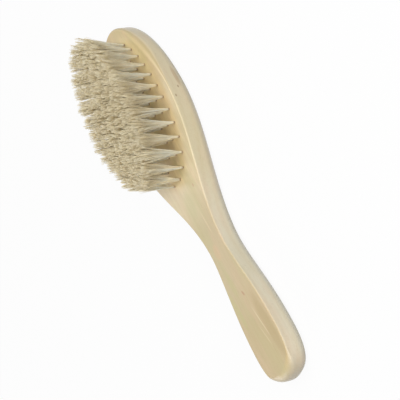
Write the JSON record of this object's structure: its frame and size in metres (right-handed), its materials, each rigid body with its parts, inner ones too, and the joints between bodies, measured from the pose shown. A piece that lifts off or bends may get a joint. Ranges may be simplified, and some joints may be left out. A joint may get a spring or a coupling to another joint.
{
  "type": "vegetable brush",
  "caption": "hand brush for scrubbing vegetables: flat wooden paddle with a long narrow handle and an oval field of upright natural-fibre bristle tufts set in blind holes",
  "frame": {"origin": "centre of the flat back's bounding rectangle, on the surface that the brush lies on, halfway between the head tip and the end of the grip", "axes": "+X runs along the brush from the grip to the head tip, +Z is the way the bristles point, +Y is across the brush"},
  "size_m": [0.22, 0.06, 0.035],
  "materials": {
    "wood": "satin",
    "wire": "plain",
    "fibre": "matte"
  },
  "bodies": {
    "root": {"wood_body": "wood", "anchor_wires": "wire", "outer_tuft_01": "fibre", "outer_tuft_02": "fibre", "outer_tuft_03": "fibre", "outer_tuft_04": "fibre", "outer_tuft_05": "fibre", "outer_tuft_06": "fibre", "outer_tuft_07": "fibre", "outer_tuft_08": "fibre", "outer_tuft_09": "fibre", "outer_tuft_10": "fibre", "outer_tuft_11": "fibre", "outer_tuft_12": "fibre", "outer_tuft_13": "fibre", "outer_tuft_14": "fibre", "outer_tuft_15": "fibre", "outer_tuft_16": "fibre", "outer_tuft_17": "fibre", "outer_tuft_18": "fibre", "outer_tuft_19": "fibre", "outer_tuft_20": "fibre", "outer_tuft_21": "fibre", "outer_tuft_22": "fibre", "outer_tuft_23": "fibre", "outer_tuft_24": "fibre", "outer_tuft_25": "fibre", "outer_tuft_26": "fibre", "outer_tuft_27": "fibre", "outer_tuft_28": "fibre", "middle_tuft_01": "fibre", "middle_tuft_02": "fibre", "middle_tuft_03": "fibre", "middle_tuft_04": "fibre", "middle_tuft_05": "fibre", "middle_tuft_06": "fibre", "middle_tuft_07": "fibre", "middle_tuft_08": "fibre", "middle_tuft_09": "fibre", "middle_tuft_10": "fibre", "middle_tuft_11": "fibre", "middle_tuft_12": "fibre", "middle_tuft_13": "fibre", "middle_tuft_14": "fibre", "middle_tuft_15": "fibre", "middle_tuft_16": "fibre", "middle_tuft_17": "fibre", "middle_tuft_18": "fibre", "middle_tuft_19": "fibre", "middle_tuft_20": "fibre", "middle_tuft_21": "fibre", "middle_tuft_22": "fibre", "inner_tufts": "fibre", "centre_tuft_01": "fibre", "centre_tuft_02": "fibre", "centre_tuft_03": "fibre", "centre_tuft_04": "fibre", "centre_tuft_05": "fibre", "centre_tuft_06": "fibre"}
  },
  "joints": []
}
